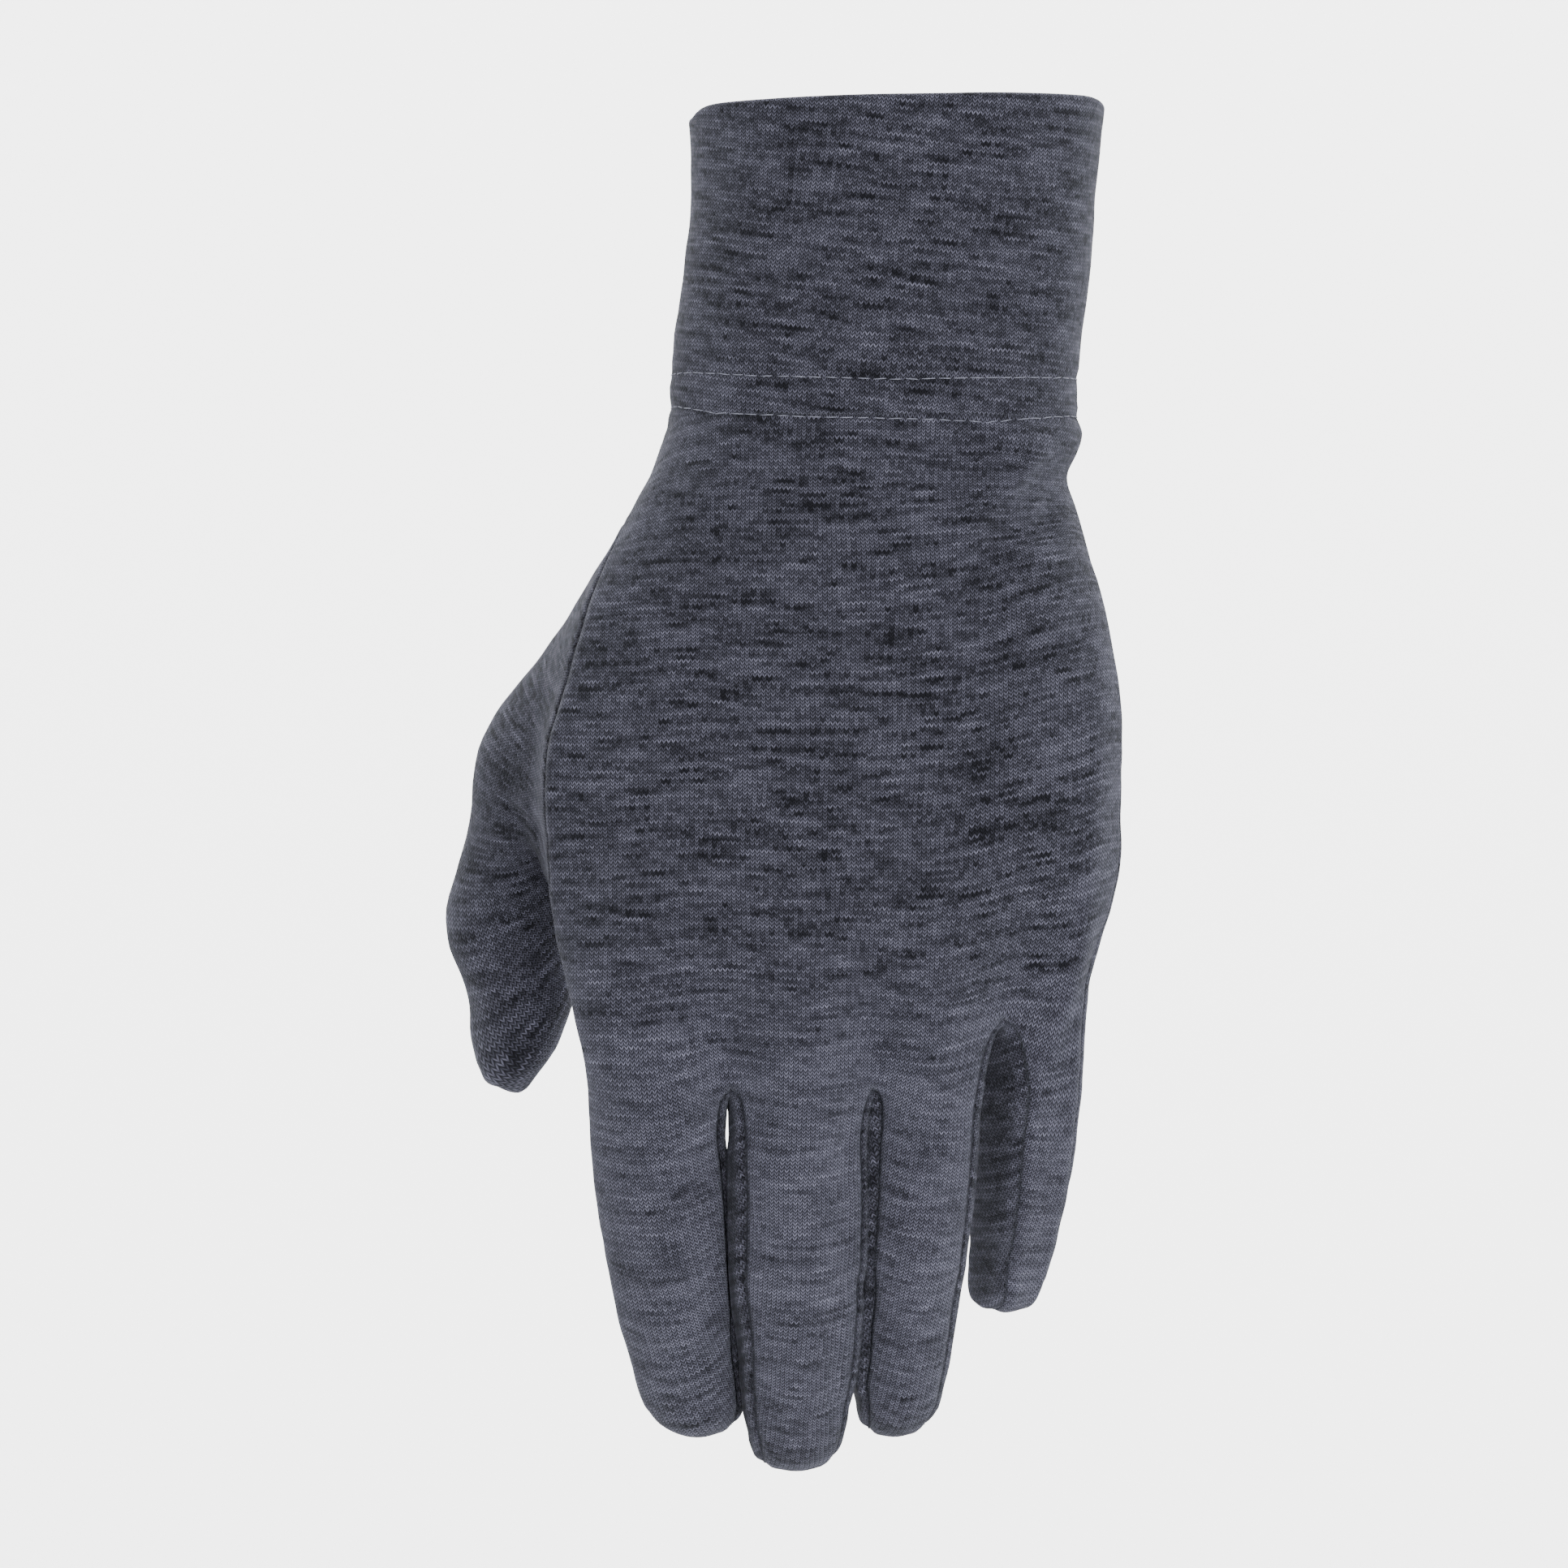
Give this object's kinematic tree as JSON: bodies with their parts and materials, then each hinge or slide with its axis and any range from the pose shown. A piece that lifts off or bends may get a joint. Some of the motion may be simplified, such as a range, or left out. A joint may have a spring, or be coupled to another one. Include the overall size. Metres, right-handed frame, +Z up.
{
  "type": "glove liner",
  "caption": "Thin knitted glove liner for the left hand, shown worn, with a doubled cuff, gathered fingers and a set-in thumb.",
  "frame": {"origin": "centre of the cuff mouth, where the wrist goes in", "axes": "+X towards the little finger side, +Y towards the palm side, +Z up out of the cuff; the fingers point down"},
  "size_m": [0.1129, 0.0645, 0.2296],
  "materials": {
    "cuff": "matte fine heathered knit, doubled hem",
    "back_panel": "matte fine heathered knit",
    "palm_panel": "matte fine heathered knit",
    "fourchette_index_middle": "matte fine heathered knit",
    "fourchette_middle_ring": "matte fine heathered knit",
    "fourchette_ring_little": "matte fine heathered knit",
    "thumb": "matte fine heathered knit"
  },
  "bodies": {
    "root": {"cuff": "cuff", "back_panel": "back_panel", "palm_panel": "palm_panel", "fourchette_index_middle": "fourchette_index_middle", "fourchette_middle_ring": "fourchette_middle_ring", "fourchette_ring_little": "fourchette_ring_little", "thumb": "thumb"}
  },
  "joints": []
}
